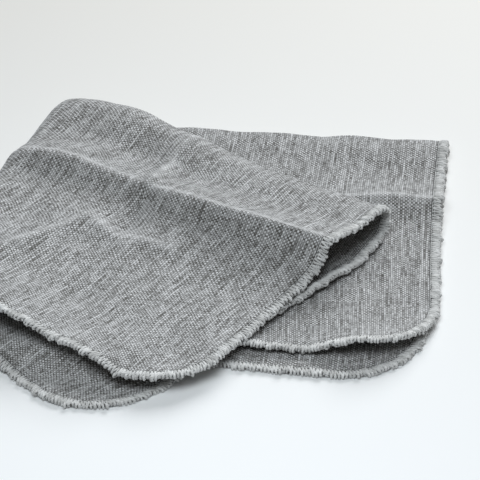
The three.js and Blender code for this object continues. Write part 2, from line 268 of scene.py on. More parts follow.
def beside_line(row, along, across):
    """How far along a crease's line each place is, from 0 to 1, and how far from it"""
    start_x, start_y = row[0] * HALF_LENGTH, row[1] * HALF_WIDTH
    run_x, run_y = row[2] * HALF_LENGTH - start_x, row[3] * HALF_WIDTH - start_y
    x = along * HALF_LENGTH - start_x
    y = across * HALF_WIDTH - start_y
    share = np.clip((x * run_x + y * run_y) / (run_x * run_x + run_y * run_y), 0, 1)
    return share, np.hypot(x - share * run_x, y - share * run_y)


def creases(rows, along, across):
    total = 0
    for row in rows:
        breadth, rise, sharp = row[4:]
        share, away = beside_line(row, along, across)
        away = away / breadth
        bell = np.exp(-BELL_FALL * away * away)
        point = np.exp(-POINT_FALL * away)
        fade = np.sin(np.pi * (ENDS_START + ENDS_SPAN * share))
        total = total + rise * fade * (bell + (point - bell) * sharp)
    return total


def top_height(along, across):
    total = table_level(TOP_LAYER, along, across) + hem_wave("top", along, across)
    return total + pressed_crease("top", across) + creases(TOP_CREASES, along, across)


def lining_height(x, y, along, across):
    front = BASE_FRONT["y"] + (x - BASE_FRONT["x"]) * BASE_FRONT["slope"]
    on_base = smooth_step((y - front + BASE_FRONT["overlap"]) / BASE_FRONT["run"])
    support = TABLE_HEIGHT + (2 * LAYER_STEP + FLAP_LIFT) * on_base
    loose = table_level(FLAP_LINING, along, across) + hem_wave("lining", along, across)
    return support + loose + creases(LINING_CREASES, along, across)


def low_height(outer, along, across):
    if outer:
        return np.full_like(across, TABLE_HEIGHT)
    upper = table_level(BASE_UPPER, along, across) + hem_wave("upper", along, across)
    shown = smooth_step((BASE_SHOWN - along) / BASE_FADE)
    marks = pressed_crease("upper", across) + creases(BASE_CREASES, along, across)
    return TABLE_HEIGHT + LAYER_STEP + upper + marks * shown


def high_height(outer, x, y, along, across):
    return top_height(along, across) if outer else lining_height(x, y, along, across)


def plan_line(rows, across):
    stations = [row[0] for row in rows]
    return [through(stations, [row[k] for row in rows], across) for k in (1, 2)]


def path_at(outer, across):
    """Each run's end, and the size and place of the turn, for every value of across."""
    sheet = OUTER_SHEET if outer else INNER_SHEET
    turn_x, turn_y = plan_line(sheet["turn"], across)
    base_x, base_y = plan_line(sheet["base_end"], across)
    flap_x, flap_y = plan_line(sheet["flap_end"], across)
    at_turn = np.ones_like(across)
    bottom = low_height(outer, at_turn, across)
    top = high_height(outer, turn_x, turn_y, at_turn, across)
    radius = (top - bottom) / 2
    arc = radius * np.pi / 2
    base_run = np.hypot(base_x - turn_x, base_y - turn_y)
    flap_run = np.hypot(flap_x - turn_x, flap_y - turn_y)
    return {
        "turn": (turn_x, turn_y),
        "ends": ((base_x, base_y), (flap_x, flap_y)),
        "runs": (base_run, flap_run),
        "bottom": bottom,
        "top": top,
        "radius": radius,
        "arc": arc,
        "base": base_run - radius + arc,
        "whole": base_run + flap_run - 2 * radius + 2 * arc,
    }


def along_run(path, length):
    """Whether a place is on the flap, how far round the turn it is, and its share of the run"""
    radius, arc = path["radius"], path["arc"]
    from_turn = (length + HALF_LENGTH) / CLOTH_LENGTH * path["whole"] - path["base"]
    on_flap = from_turn >= 0
    distance = np.abs(from_turn)
    angle = np.minimum(distance / radius, np.pi / 2)
    out = np.where(distance < arc, radius * (1 - np.cos(angle)), radius + distance - arc)
    return on_flap, angle, out / np.where(on_flap, path["runs"][1], path["runs"][0])


def turn_place(outer, across):
    path = path_at(outer, across)
    return path["base"] / path["whole"] * CLOTH_LENGTH - HALF_LENGTH


def sheet_point(outer, length, across):
    """The middle of the cloth, for one of its halves, at places along and across it."""
    sheet = OUTER_SHEET if outer else INNER_SHEET
    path = path_at(outer, across)
    on_flap, angle, share = along_run(path, length)
    (base_x, base_y), (flap_x, flap_y) = path["ends"]
    turn_x, turn_y = path["turn"]
    run = np.where(on_flap, path["runs"][1], path["runs"][0])
    run_x = np.where(on_flap, flap_x, base_x) - turn_x
    run_y = np.where(on_flap, flap_y, base_y) - turn_y
    back_x, back_y = -run_y / run, run_x / run
    facing = np.sign(back_y)
    hem_arch = 4 * share * (1 - share) * across**2
    fold_arch = np.sin(np.pi * np.clip(share, 0, 1) ** FOLD_BOW_LEAN) ** 2 * (1 - across) ** 2
    flap_bow = sheet["fold_bow"] * fold_arch - sheet["flap_hem_bow"] * hem_arch
    bow = np.where(on_flap, flap_bow, -sheet["base_hem_bow"] * hem_arch) * facing
    x = turn_x + run_x * share + back_x * bow
    y = turn_y + run_y * share + back_y * bow
    along = 1 - share
    low = np.where(on_flap, path["bottom"], low_height(outer, along, across))
    high = np.where(on_flap, high_height(outer, x, y, along, across), path["top"])
    lift = (1 + np.where(on_flap, 1, -1) * np.sin(angle)) / 2
    return np.stack([x, y, low + (high - low) * lift], -1)


def fold_radius(length):
    """The long fold is half a circle across the gap between the two halves of the cloth."""
    at_fold = np.zeros_like(length)
    gap_shade = sheet_point(True, length, at_fold) - sheet_point(False, length, at_fold)
    return np.linalg.norm(gap_shade, axis=-1) / 2


def fold_cloth(u, v):
    """Where the flat cloth's point (u, v) lies once it is folded. All in millimetres."""
    u = np.asarray(u, float)
    v = np.asarray(v, float)
    from_fold = u + FOLD_SKEW * v
    half = HALF_WIDTH + np.sign(from_fold) * FOLD_SKEW * v
    distance = np.abs(from_fold)
    radius = fold_radius(v)
    round_run = radius * np.pi / 2
    fold_share = radius / HALF_WIDTH
    angle = np.clip(distance / round_run, 0, 1) * np.pi / 2
    in_round = fold_share * (1 - np.cos(angle))
    flat_share = np.clip((distance - round_run) / (half - round_run), 0, PAST_HEM)
    across = np.where(distance < round_run, in_round, fold_share + (1 - fold_share) * flat_share)
    side = np.where(distance < round_run, np.sin(angle), 1) * np.sign(from_fold)
    outer = sheet_point(True, v, across)
    inner = sheet_point(False, v, across)
    return (outer + inner) / 2 + (inner - outer) / 2 * side[..., None]


# A very slight crumple all over, from a few seeded waves in the flat cloth. Pitches and rise
# in millimetres, and how the rise grows with the pitch
CRUMPLE_SEED = 7
CRUMPLE_WAVES = 26
CRUMPLE_SHORTEST = 11
CRUMPLE_LONGEST = 42
CRUMPLE_RISE = 0.10
CRUMPLE_GROWTH = 0.7
crumple_rng = np.random.default_rng(CRUMPLE_SEED)
crumple_turn = crumple_rng.uniform(0, 2 * np.pi, CRUMPLE_WAVES)
crumple_pitch = crumple_rng.uniform(CRUMPLE_SHORTEST, CRUMPLE_LONGEST, CRUMPLE_WAVES)
crumple_phase = crumple_rng.uniform(0, 2 * np.pi, CRUMPLE_WAVES)


def crumple(u, v):
    total = np.zeros_like(u)
    for turn, pitch, phase in zip(crumple_turn, crumple_pitch, crumple_phase):
        place = (u * math.cos(turn) + v * math.sin(turn)) / pitch
        rise = (pitch / CRUMPLE_LONGEST) ** CRUMPLE_GROWTH
        total += np.sin(2 * np.pi * place + phase) * rise
    return total * CRUMPLE_RISE


# The crests of the creases are painted paler where they show, on the outer half's flap and the
# inner half's base: partly rubbed wear, partly a painted highlight where the crests catch the
# light.
# Breadth in millimetres, how much the pressed crease is painted paler, and the stretch of a sine
# along each other crease
CREST_HIGHLIGHT_BREADTH = 1.7
CREST_HIGHLIGHT_SHEETS = (
    (True, 0.9, TOP_CREASES),
    (False, 1.0, ()),
)
CREST_HIGHLIGHT_START = 0.1
CREST_HIGHLIGHT_SPAN = 0.8


def crest_wear_and_highlight(u, v):
    """How far each place of the flat cloth is painted pale on a crease's crest, as wear and painted
    highlight, from 0 to 1
    """
    from_fold = u + FOLD_SKEW * v
    outer = from_fold < 0
    across = np.abs(from_fold) / (HALF_WIDTH + np.sign(from_fold) * FOLD_SKEW * v)
    total = np.zeros_like(u)
    for is_outer, pressed_highlight, rows in CREST_HIGHLIGHT_SHEETS:
        on_flap, _, share = along_run(path_at(is_outer, across), v)
        shown = (outer == is_outer) & (on_flap == is_outer)
        away = (across - PRESSED_AT) * HALF_WIDTH / CREST_HIGHLIGHT_BREADTH
        crest_highlight = pressed_highlight * np.exp(-away * away)
        for row in rows:
            rise, sharp = row[5:]
            if rise > 0:
                place, away = beside_line(row, 1 - share, across)
                away = away / CREST_HIGHLIGHT_BREADTH
                fade = np.sin(np.pi * (CREST_HIGHLIGHT_START + CREST_HIGHLIGHT_SPAN * place))
                crest_highlight = np.maximum(crest_highlight, sharp * np.exp(-away * away) * fade)
        total = np.where(shown, crest_highlight, total)
    return total


def inset_from_edge(u, v):
    """How far inside the rounded outline of the flat cloth a point lies"""
    past_u = np.abs(u) - (HALF_WIDTH - CORNER_RADIUS)
    past_v = np.abs(v) - (HALF_LENGTH - CORNER_RADIUS)
    outside = np.hypot(np.maximum(past_u, 0), np.maximum(past_v, 0))
    return CORNER_RADIUS - outside - np.minimum(np.maximum(past_u, past_v), 0)


def square_to(u, v, reach=0.4):
    """Unit vectors square to the folded cloth, pointing out of its upper, inner face"""
    one = fold_cloth(u + reach, v) - fold_cloth(u - reach, v)
    other = fold_cloth(u, v + reach) - fold_cloth(u, v - reach)
    normal = np.cross(one, other)
    return normal / np.linalg.norm(normal, axis=-1, keepdims=True)


# Rows and columns of the surface, closer together in the folds and at the corners
TURN_SPAN, TURN_ROWS, TURN_CROWDING = 18, 22, 1.5
BASE_ROWS, FLAP_ROWS, CORNER_ROWS = 58, 64, 16
ROUND_COLUMNS, SHEET_COLUMNS = 7, 102


def row_places(reach, rows):
    """Distances from the turn for rows 0, 1, 2 ... at columns whose short hem is at reach"""
    turn = TURN_SPAN * (np.arange(TURN_ROWS) / TURN_ROWS) ** TURN_CROWDING
    straight = np.arange(rows) / rows
    corner = np.arange(CORNER_ROWS + 1) / CORNER_ROWS
    near = np.repeat(turn[:, None], len(reach), 1)
    middle = TURN_SPAN + straight[:, None] * (reach - TURN_SPAN - CORNER_RADIUS)[None]
    end = reach[None] - CORNER_RADIUS * (1 - corner[:, None])
    return np.concatenate([near, middle, end])


def flat_grid():
    """Flat places (u, v) of every row and column of the surface"""
    shares = np.arange(SHEET_COLUMNS + 1) / SHEET_COLUMNS
    halves = []
    for side in (-1, 1):
        across = np.concatenate([np.zeros(ROUND_COLUMNS), shares])
        place = turn_place(side < 0, across)
        base = -row_places(HALF_LENGTH + place, BASE_ROWS)[:0:-1] + place
        flap = row_places(HALF_LENGTH - place, FLAP_ROWS) + place
        v = np.concatenate([base, flap])
        radius = fold_radius(v[:, 0])
        round_run = radius * np.pi / 2
        half = HALF_WIDTH + side * FOLD_SKEW * v
        steps = np.arange(ROUND_COLUMNS) / ROUND_COLUMNS
        in_round = round_run[:, None] * steps[None]
        flat_run = half[:, ROUND_COLUMNS:] - round_run[:, None]
        in_sheet = round_run[:, None] + flat_run * shares[None]
        u = side * np.concatenate([in_round, in_sheet], 1) - FOLD_SKEW * v
        halves.append((u, v))
    (left_u, left_v), (right_u, right_v) = halves
    u = np.concatenate([left_u[:, :0:-1], right_u], 1)
    v = np.concatenate([left_v[:, :0:-1], right_v], 1)
    return round_corners(u, v)


def round_corners(u, v):
    """Draws places near a square corner in onto the round one."""
    x = 1 - (HALF_WIDTH - np.abs(u)) / CORNER_RADIUS
    y = 1 - (HALF_LENGTH - np.abs(v)) / CORNER_RADIUS
    near = (x > 0) & (y > 0)
    near_u, near_v = np.clip(x, 0, 1), np.clip(y, 0, 1)
    out_u = CORNER_RADIUS * near_u * np.sqrt(1 - near_v * near_v / 2)
    out_v = CORNER_RADIUS * near_v * np.sqrt(1 - near_u * near_u / 2)
    round_u = np.sign(u) * (HALF_WIDTH - CORNER_RADIUS + out_u)
    round_v = np.sign(v) * (HALF_LENGTH - CORNER_RADIUS + out_v)
    return np.where(near, round_u, u), np.where(near, round_v, v)


flat_u, flat_v = flat_grid()
grid_rows, grid_columns = flat_u.shape
surface = fold_cloth(flat_u.ravel(), flat_v.ravel())
surface_normal = square_to(flat_u.ravel(), flat_v.ravel())

# The towel's box stands over the origin, as the solid's does.
half_thick = SOLID_THICKNESS / 2
edge_low = (surface - np.abs(surface_normal) * half_thick).min(0)
edge_high = (surface + np.abs(surface_normal) * half_thick).max(0)
TOWEL_MIDDLE = np.array([(edge_low[0] + edge_high[0]) / 2, (edge_low[1] + edge_high[1]) / 2, 0])


# Where the edge lies on the table, the stitching under it holds it up a little. The crumple
# starts above the table. Millimetres
STITCH_RISE = 0.45
RISE_REACH = 7.0
LOW_HEIGHT = 1.2
LOW_FADE = 0.8
FREE_FADE = 2.0


def place_cloth(u, v, lift):
    """Folded place in metres of a flat point, lifted off the middle of the cloth"""
    place = fold_cloth(u, v)
    height = place[..., 2]
    low = smooth_step((TABLE_HEIGHT + LOW_HEIGHT - height) / LOW_FADE)
    place[..., 2] += STITCH_RISE * low * smooth_step(1 - inset_from_edge(u, v) / RISE_REACH)
    free = smooth_step((height - LOW_HEIGHT) / FREE_FADE)
    rise = lift + crumple(u, v) * free
    return (place - TOWEL_MIDDLE + square_to(u, v) * rise[..., None]) * MM


def cloth_mesh(name):
    points = place_cloth(flat_u.ravel(), flat_v.ravel(), np.zeros(flat_u.size))
    index = np.arange(grid_rows * grid_columns).reshape(grid_rows, grid_columns)
    corners = (index[:-1, :-1], index[:-1, 1:], index[1:, 1:], index[1:, :-1])
    faces = np.stack(corners, -1).reshape(-1, 4)
    mesh = bpy.data.meshes.new(name)
    mesh.from_pydata(points.tolist(), [], faces.tolist())
    flat = np.stack([flat_u.ravel(), flat_v.ravel()], -1)
    loops = np.empty(len(mesh.loops), int)
    mesh.loops.foreach_get("vertex_index", loops)
    uv = mesh.uv_layers.new(name="flat_cloth")
    uv.data.foreach_set("uv", flat[loops].astype(np.float32).ravel())
    inset = mesh.attributes.new("inset", "FLOAT", "POINT")
    inset.data.foreach_set("value", inset_from_edge(flat[:, 0], flat[:, 1]).astype(np.float32))
    # How pale each crease crest is painted, partly rubbed wear and partly painted highlight
    crest_wear_highlight = mesh.attributes.new("crest_wear_highlight", "FLOAT", "POINT")
    crest_wear_highlight.data.foreach_set("value", crest_wear_and_highlight(flat[:, 0], flat[:, 1]).astype(np.float32))
    mesh.polygons.foreach_set("use_smooth", np.ones(len(mesh.polygons), bool))
    mesh.update()
    return mesh


towel = bpy.data.objects.new("towel_cloth", cloth_mesh("towel_cloth"))
bpy.context.scene.collection.objects.link(towel)
bpy.ops.object.select_all(action="DESELECT")
bpy.context.view_layer.objects.active = towel
towel.select_set(True)
thicken = towel.modifiers.new("thickness", "SOLIDIFY")
thicken.thickness = CLOTH_THICKNESS * MM
thicken.offset = 0
bpy.ops.object.modifier_apply(modifier=thicken.name)


class ClothNodes:
    """Short ways to write a material's nodes"""

    def __init__(self, material):
        material.use_nodes = True
        self.tree = material.node_tree
        self.surface = self.tree.nodes["Principled BSDF"]

    def put(self, socket, value):
        if isinstance(value, bpy.types.NodeSocket):
            self.tree.links.new(value, socket)
        else:
            socket.default_value = value

    def math(self, operation, *values):
        node = self.tree.nodes.new("ShaderNodeMath")
        node.operation = operation
        for socket, value in zip(node.inputs, values):
            self.put(socket, value)
        return node.outputs[0]

    def noise(self, vector, scale, detail=2.0, roughness=0.5):
        node = self.tree.nodes.new("ShaderNodeTexNoise")
        node.noise_dimensions = "3D"
        self.put(node.inputs["Vector"], vector)
        node.inputs["Scale"].default_value = scale
        node.inputs["Detail"].default_value = detail
        node.inputs["Roughness"].default_value = roughness
        return node.outputs["Fac"]

    def drawn_out(self, x, x_scale, y, y_scale, detail, roughness=0.5):
        """Noise over the flat cloth, with its own scale each way"""
        place = self.vector(self.math("MULTIPLY", x, x_scale), self.math("MULTIPLY", y, y_scale))
        return self.noise(place, 1.0, detail, roughness)

    def read(self, attribute):
        node = self.tree.nodes.new("ShaderNodeAttribute")
        node.attribute_name = attribute
        return node.outputs["Fac"]

    def random_pair(self, pair):
        node = self.tree.nodes.new("ShaderNodeTexWhiteNoise")
        node.noise_dimensions = "2D"
        self.put(node.inputs["Vector"], pair)
        return node.outputs["Value"]

    def vector(self, x, y, z=0.0):
        node = self.tree.nodes.new("ShaderNodeCombineXYZ")
        for socket, value in zip(node.inputs, (x, y, z)):
            self.put(socket, value)
        return node.outputs[0]

    def blend(self, share, low, high):
        node = self.tree.nodes.new("ShaderNodeMix")
        node.data_type = "RGBA"
        node.clamp_factor = True
        self.put(node.inputs[0], share)
        self.put(node.inputs[6], low)
        self.put(node.inputs[7], high)
        return node.outputs[2]

    def blend_value(self, share, low, high):
        node = self.tree.nodes.new("ShaderNodeMix")
        self.put(node.inputs[0], share)
        self.put(node.inputs[2], low)
        self.put(node.inputs[3], high)
        return node.outputs[0]

    def spread(self, value, low, high, to_low=0.0, to_high=1.0):
        node = self.tree.nodes.new("ShaderNodeMapRange")
        for socket, number in zip(node.inputs, (value, low, high, to_low, to_high)):
            self.put(socket, number)
        return node.outputs[0]

    def bump(self, height, strength, distance):
        node = self.tree.nodes.new("ShaderNodeBump")
        node.inputs["Strength"].default_value = strength
        node.inputs["Distance"].default_value = distance
        self.put(node.inputs["Height"], height)
        self.tree.links.new(node.outputs["Normal"], self.surface.inputs["Normal"])


# Pale yarns run across the towel and dark ones along it, and each is thick and thin in turn.
# Pitches and wander in millimetres
PALE_PITCH = 0.94
DARK_PITCH = 0.72
YARN_WANDER = 0.7
PALE_YARN = (0.77, 0.775, 0.78, 1)
DARK_YARN = (0.112, 0.106, 0.095, 1)
# The colour of painted shade, in the gaps between yarns and in the needle line's groove
SHADOW = (0.03, 0.03, 0.03, 1)

# Scales of the unevenness, for each millimetre or for each yarn: long, across, slub and streak
LONG_SCALE = 0.04
ACROSS_SCALE = 0.25
SLUB_SCALE = 0.2
YARN_SLUB = 3.7
PALE_STREAK = 0.9
DARK_STREAK = 0.7
CREST_HIGHLIGHT_SCALE = 0.1

# Nearly all of a noise lies between these.
NOISE_SPAN = (0.3, 0.7)
STREAK_SPAN = (0.35, 0.65)

# How pale each kind of yarn is, from the dark yarn's colour, 0, to the pale one's, 1, and how
# far streaks and single crossings differ
PALE_TONES = (0.4, 1.1)
DARK_TONES = (0.0, 0.45)
PALE_STREAKS = (-0.34, 0.34)
DARK_STREAKS = (-0.1, 0.1)
SPECKLE = 0.2

# How far inside the edge the needle thread pulls a groove into the cloth, painted as a line of
# shade, and the paler line inside it where the edge was turned and pressed. Millimetres, with the
# share of the colour
GROOVE_INSET = 3.9
GROOVE_SPAN = (0.25, 0.8)
GROOVE_PAINTED_SHADE = 0.75
LINE_INSET = GROOVE_INSET + 3.8
LINE_SPAN = (0.2, 1.0)
LINE_SHADE = 0.16


def weave_material():
    material = bpy.data.materials.new("grey_weave")
    nodes = ClothNodes(material)
    uv = nodes.tree.nodes.new("ShaderNodeUVMap")
    uv.uv_map = "flat_cloth"
    split = nodes.tree.nodes.new("ShaderNodeSeparateXYZ")
    nodes.tree.links.new(uv.outputs[0], split.inputs[0])
    u, v = split.outputs[0], split.outputs[1]

    # The yarns wander a little, each set on its own.
    pale_wander = nodes.drawn_out(u, LONG_SCALE, v, ACROSS_SCALE, 3)
    dark_wander = nodes.drawn_out(u, ACROSS_SCALE, v, LONG_SCALE, 3)
    pale_place = nodes.math("ADD", v, nodes.spread(pale_wander, 0, 1, -YARN_WANDER, YARN_WANDER))
    dark_place = nodes.math("ADD", u, nodes.spread(dark_wander, 0, 1, -YARN_WANDER, YARN_WANDER))
    pale_at = nodes.math("DIVIDE", pale_place, PALE_PITCH)
    dark_at = nodes.math("DIVIDE", dark_place, DARK_PITCH)
    pale_index = nodes.math("FLOOR", pale_at)
    dark_index = nodes.math("FLOOR", dark_at)
    pale_round = nodes.math("SINE", nodes.math("MULTIPLY", nodes.math("FRACT", pale_at), math.pi))
    dark_round = nodes.math("SINE", nodes.math("MULTIPLY", nodes.math("FRACT", dark_at), math.pi))
    index_sum = nodes.math("ADD", pale_index, dark_index)
    over = nodes.math("MODULO", nodes.math("ABSOLUTE", index_sum), 2.0)
    speck = nodes.random_pair(nodes.vector(pale_index, dark_index))

    # Thick and thin places, a few millimetres long on each yarn
    pale_slub = nodes.drawn_out(u, SLUB_SCALE, pale_index, YARN_SLUB, 2)
    dark_slub = nodes.drawn_out(dark_index, YARN_SLUB, v, SLUB_SCALE, 2)
    # Streaks where several yarns together are paler or darker
    pale_streak = nodes.drawn_out(u, LONG_SCALE, pale_index, PALE_STREAK, 4, 0.8)
    dark_streak = nodes.drawn_out(dark_index, DARK_STREAK, v, LONG_SCALE, 4, 0.8)
    streak = nodes.math(
        "ADD",
        nodes.spread(pale_streak, *STREAK_SPAN, *PALE_STREAKS),
        nodes.spread(dark_streak, *STREAK_SPAN, *DARK_STREAKS),
    )

    pale_tone = nodes.math("ADD", nodes.spread(pale_slub, *NOISE_SPAN, *PALE_TONES), streak)
    dark_tone = nodes.math("ADD", nodes.spread(dark_slub, *NOISE_SPAN, *DARK_TONES), streak)
    pale_tone = nodes.math("ADD", pale_tone, nodes.spread(speck, 0, 1, -SPECKLE, SPECKLE))
    dark_tone = nodes.math("ADD", dark_tone, nodes.spread(speck, 0, 1, SPECKLE, -SPECKLE))
    pale = nodes.blend(pale_tone, DARK_YARN, PALE_YARN)
    dark = nodes.blend(dark_tone, DARK_YARN, PALE_YARN)
    woven = nodes.blend(over, dark, pale)
    # Each yarn is round, and the pale ones stand up between narrow gaps, painted dark with shade.
    side = nodes.math("ADD", nodes.math("MULTIPLY", over, 0.5), dark_round)
    gap_shade = nodes.math("MINIMUM", pale_round, side)
    woven = nodes.blend(nodes.spread(gap_shade, 0.1, 0.6, 0.75, 0.0), woven, SHADOW)
    crossing = nodes.blend_value(over, nodes.math("MULTIPLY", dark_round, 0.6), 1.0)
    height = nodes.math("MULTIPLY", pale_round, crossing)

    # The needle line's groove along the edge, painted as a line of shade, and the pressed line
    # inside it
    inset = nodes.read("inset")
    groove_shade = nodes.math("ABSOLUTE", nodes.math("SUBTRACT", inset, GROOVE_INSET))
    woven = nodes.blend(nodes.spread(groove_shade, *GROOVE_SPAN, GROOVE_PAINTED_SHADE, 0.0), woven, SHADOW)
    pressed = nodes.math("ABSOLUTE", nodes.math("SUBTRACT", inset, LINE_INSET))
    woven = nodes.blend(nodes.spread(pressed, *LINE_SPAN, LINE_SHADE, 0.0), woven, PALE_YARN)

    # The crests are painted paler, as rubbed wear and painted highlight, here more and there less.
    uneven = nodes.drawn_out(u, CREST_HIGHLIGHT_SCALE, v, CREST_HIGHLIGHT_SCALE, 3)
    crest_highlight = nodes.math("MULTIPLY", nodes.read("crest_wear_highlight"), nodes.spread(uneven, *NOISE_SPAN, 0.25, 0.6))
    woven = nodes.blend(crest_highlight, woven, PALE_YARN)

    nodes.put(nodes.surface.inputs["Base Color"], woven)
    nodes.surface.inputs["Roughness"].default_value = 0.85
    nodes.surface.inputs["Specular IOR Level"].default_value = 0.3
    nodes.surface.inputs["Sheen Weight"].default_value = 0.2
    nodes.surface.inputs["Sheen Roughness"].default_value = 0.5
    nodes.surface.inputs["Sheen Tint"].default_value = (0.9, 0.95, 1.0, 1)
    nodes.bump(height, 0.7, 0.2 * MM)
    return material


towel.data.materials.append(weave_material())
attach(towel, "root")
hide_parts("towel")


# The overlock stitching
# Two soft cotton looper threads wrap the raw edge, one on each face, and lock in a knot on the
# edge at every stitch. A needle thread holds them down in a groove a little inside the edge.

STITCH_PITCH = 1.5
BAND_WIDTH = 3.7
LOOPER_RADIUS = 0.44
KNOT_RADIUS = 0.54
NEEDLE_RADIUS = 0.2

# How stitches differ: how far each slips along the edge, how much it puffs up, and how thick
# its thread is
STITCH_SLIP = 0.12
STITCH_PUFF = (0.8, 1.3)
THREAD_SPREAD = (0.72, 1.22)
STITCH_SEED = 11
stitch_rng = np.random.default_rng(STITCH_SEED)

SIDE_RUNS = (CLOTH_WIDTH - 2 * CORNER_RADIUS, CLOTH_LENGTH - 2 * CORNER_RADIUS) * 2
CORNER_ARC = CORNER_RADIUS * math.pi / 2
PERIMETER = sum(SIDE_RUNS) + 4 * CORNER_ARC
STITCHES = round(PERIMETER / STITCH_PITCH)


def edge_place(distance, inset):
    """Flat place at a distance round the outline, and inside it by inset. It starts at the
    front left of the flat cloth and goes round counter-clockwise."""
    distance = np.mod(distance, PERIMETER)
    u = np.zeros_like(distance)
    v = np.zeros_like(distance)
    half_u, half_v = HALF_WIDTH - CORNER_RADIUS, HALF_LENGTH - CORNER_RADIUS
    centres = ((half_u, -half_v), (half_u, half_v), (-half_u, half_v), (-half_u, -half_v))
    start = 0.0
    for side, (run, (centre_u, centre_v)) in enumerate(zip(SIDE_RUNS, centres)):
        heading = side * math.pi / 2
        along_u, along_v = math.cos(heading), math.sin(heading)
        on_side = (distance >= start) & (distance < start + run)
        back = start + run - distance
        out = CORNER_RADIUS - inset
        u = np.where(on_side, centre_u - along_u * back + along_v * out, u)
        v = np.where(on_side, centre_v - along_v * back - along_u * out, v)
        start += run
        on_corner = (distance >= start) & (distance < start + CORNER_ARC)
        turn = heading - math.pi / 2 + (distance - start) / CORNER_RADIUS
        u = np.where(on_corner, centre_u + np.cos(turn) * out, u)
        v = np.where(on_corner, centre_v + np.sin(turn) * out, v)
        start += CORNER_ARC
    return u, v


def beside_edge(distance, inset, lift):
    """Places in metres beside the edge, and past it where inset is below 0"""
    inside = np.maximum(inset, 0.0)
    place = place_cloth(*edge_place(distance, inside), lift)
    deeper = place_cloth(*edge_place(distance, inside + 1.0), lift)
    outwards = place - deeper
    outwards = outwards / np.linalg.norm(outwards, axis=-1, keepdims=True)
    return place - outwards * np.minimum(inset, 0.0)[..., None] * MM


# The edge itself is drawn in and let out, and up and down, a little between stitches. The two
# waves stand this far apart along it. Millimetres
WANDER_PITCHES = (3.9, 5.3, 8.1, 13.7)
WANDER_IN = 0.3
WANDER_UP = 0.16
WANDER_APART = 2.0


def edge_wander(distance, size):
    total = 0
    for phase, pitch in enumerate(WANDER_PITCHES):
        whole_pitch = PERIMETER / round(PERIMETER / pitch)
        total = total + size * np.sin(2 * np.pi * distance / whole_pitch + phase)
    return total


# One stitch of a looper thread: along in stitches, inset in band widths, lift in millimetres
LOOPER_SHAPE = (
    (-0.02, 1.00, 0.40),
    (0.10, 0.76, 0.64),
    (0.22, 0.40, 0.72),
    (0.36, 0.04, 0.62),
    (0.50, -0.05, 0.34),
    (0.64, 0.06, 0.60),
    (0.76, 0.40, 0.72),
    (0.90, 0.76, 0.64),
    (1.00, 1.00, 0.40),
)
LOOPER_REACH = (0.78, 1.08)
KNOT_SHAPE = (
    (0.44, 0.13, 0.66),
    (0.48, -0.04, 0.52),
    (0.52, -0.09, 0.0),
    (0.56, -0.04, -0.52),
    (0.60, 0.13, -0.66),
)
KNOT_REACH = (0.9, 1.3)
SLANT = -0.55


def stitch_paths(shape, face, reach_spread):
    """One path for each stitch round the towel, on its upper face, 1, or its lower one, -1"""
    along, inset, lift = np.array(shape).T
    start = np.arange(STITCHES)[:, None] * PERIMETER / STITCHES
    start = start + stitch_rng.normal(0, STITCH_SLIP, (STITCHES, 1))
    reach = BAND_WIDTH * stitch_rng.uniform(*reach_spread, (STITCHES, 1))
    puff = stitch_rng.uniform(*STITCH_PUFF, (STITCHES, 1))
    distance = start + (along + SLANT * inset)[None] * STITCH_PITCH
    near_edge = 1 - np.clip(inset, 0, 1)[None]
    deep = inset[None] * reach + edge_wander(distance, WANDER_IN) * near_edge
    high = lift[None] * puff * face + edge_wander(distance + WANDER_APART, WANDER_UP) * near_edge
    place = beside_edge(distance.ravel(), deep.ravel(), high.ravel())
    return place.reshape(STITCHES, len(shape), 3)


# Where a path runs straight, its tube is turned by this direction instead.
NO_SIZE = 1e-9
ANY_WAY = (0.3, 0.4, 1.0)


def thread_runs(name, paths, radius, sides):
    """A mesh of one tube for each path, each closed at both ends"""
    count, steps, _ = paths.shape
    run = np.gradient(paths, axis=1)
    run /= np.linalg.norm(run, axis=-1, keepdims=True)
    across = np.cross(run, paths - paths.mean(1, keepdims=True))
    size = np.linalg.norm(across, axis=-1, keepdims=True)
    across = np.where(size < NO_SIZE, np.cross(run, ANY_WAY), across)
    across /= np.linalg.norm(across, axis=-1, keepdims=True)
    other = np.cross(run, across)
    turn = (np.arange(sides) * 2 * np.pi / sides)[:, None]
    ring = across[:, :, None] * np.cos(turn) + other[:, :, None] * np.sin(turn)
    thick = stitch_rng.uniform(*THREAD_SPREAD, (count, 1, 1, 1)) * radius * MM
    points = (paths[:, :, None] + ring * thick).reshape(-1, 3)
    index = np.arange(count * steps * sides).reshape(count, steps, sides)
    after = np.roll(index, -1, axis=2)
    corners = (index[:, :-1], after[:, :-1], after[:, 1:], index[:, 1:])
    walls = np.stack(corners, -1).reshape(-1, 4)
    faces = walls.tolist() + index[:, 0, ::-1].tolist() + index[:, -1].tolist()
    mesh = bpy.data.meshes.new(name)
    mesh.from_pydata(points.tolist(), [], faces)
    mesh.polygons.foreach_set("use_smooth", np.ones(len(mesh.polygons), bool))
    shade = mesh.attributes.new("shade", "FLOAT", "POINT")
    own = np.repeat(stitch_rng.uniform(0, 1, count), steps * sides)
    shade.data.foreach_set("value", own.astype(np.float32))
    mesh.update()
    thread = bpy.data.objects.new(name, mesh)
    bpy.context.scene.collection.objects.link(thread)
    return thread


looper_runs = [stitch_paths(LOOPER_SHAPE, face, LOOPER_REACH) for face in (1, -1)]
loopers = thread_runs("overlock_loops", np.concatenate(looper_runs), LOOPER_RADIUS, sides=5)
knot_runs = stitch_paths(KNOT_SHAPE, 1, KNOT_REACH)
knots = thread_runs("overlock_knots", knot_runs, KNOT_RADIUS, sides=5)

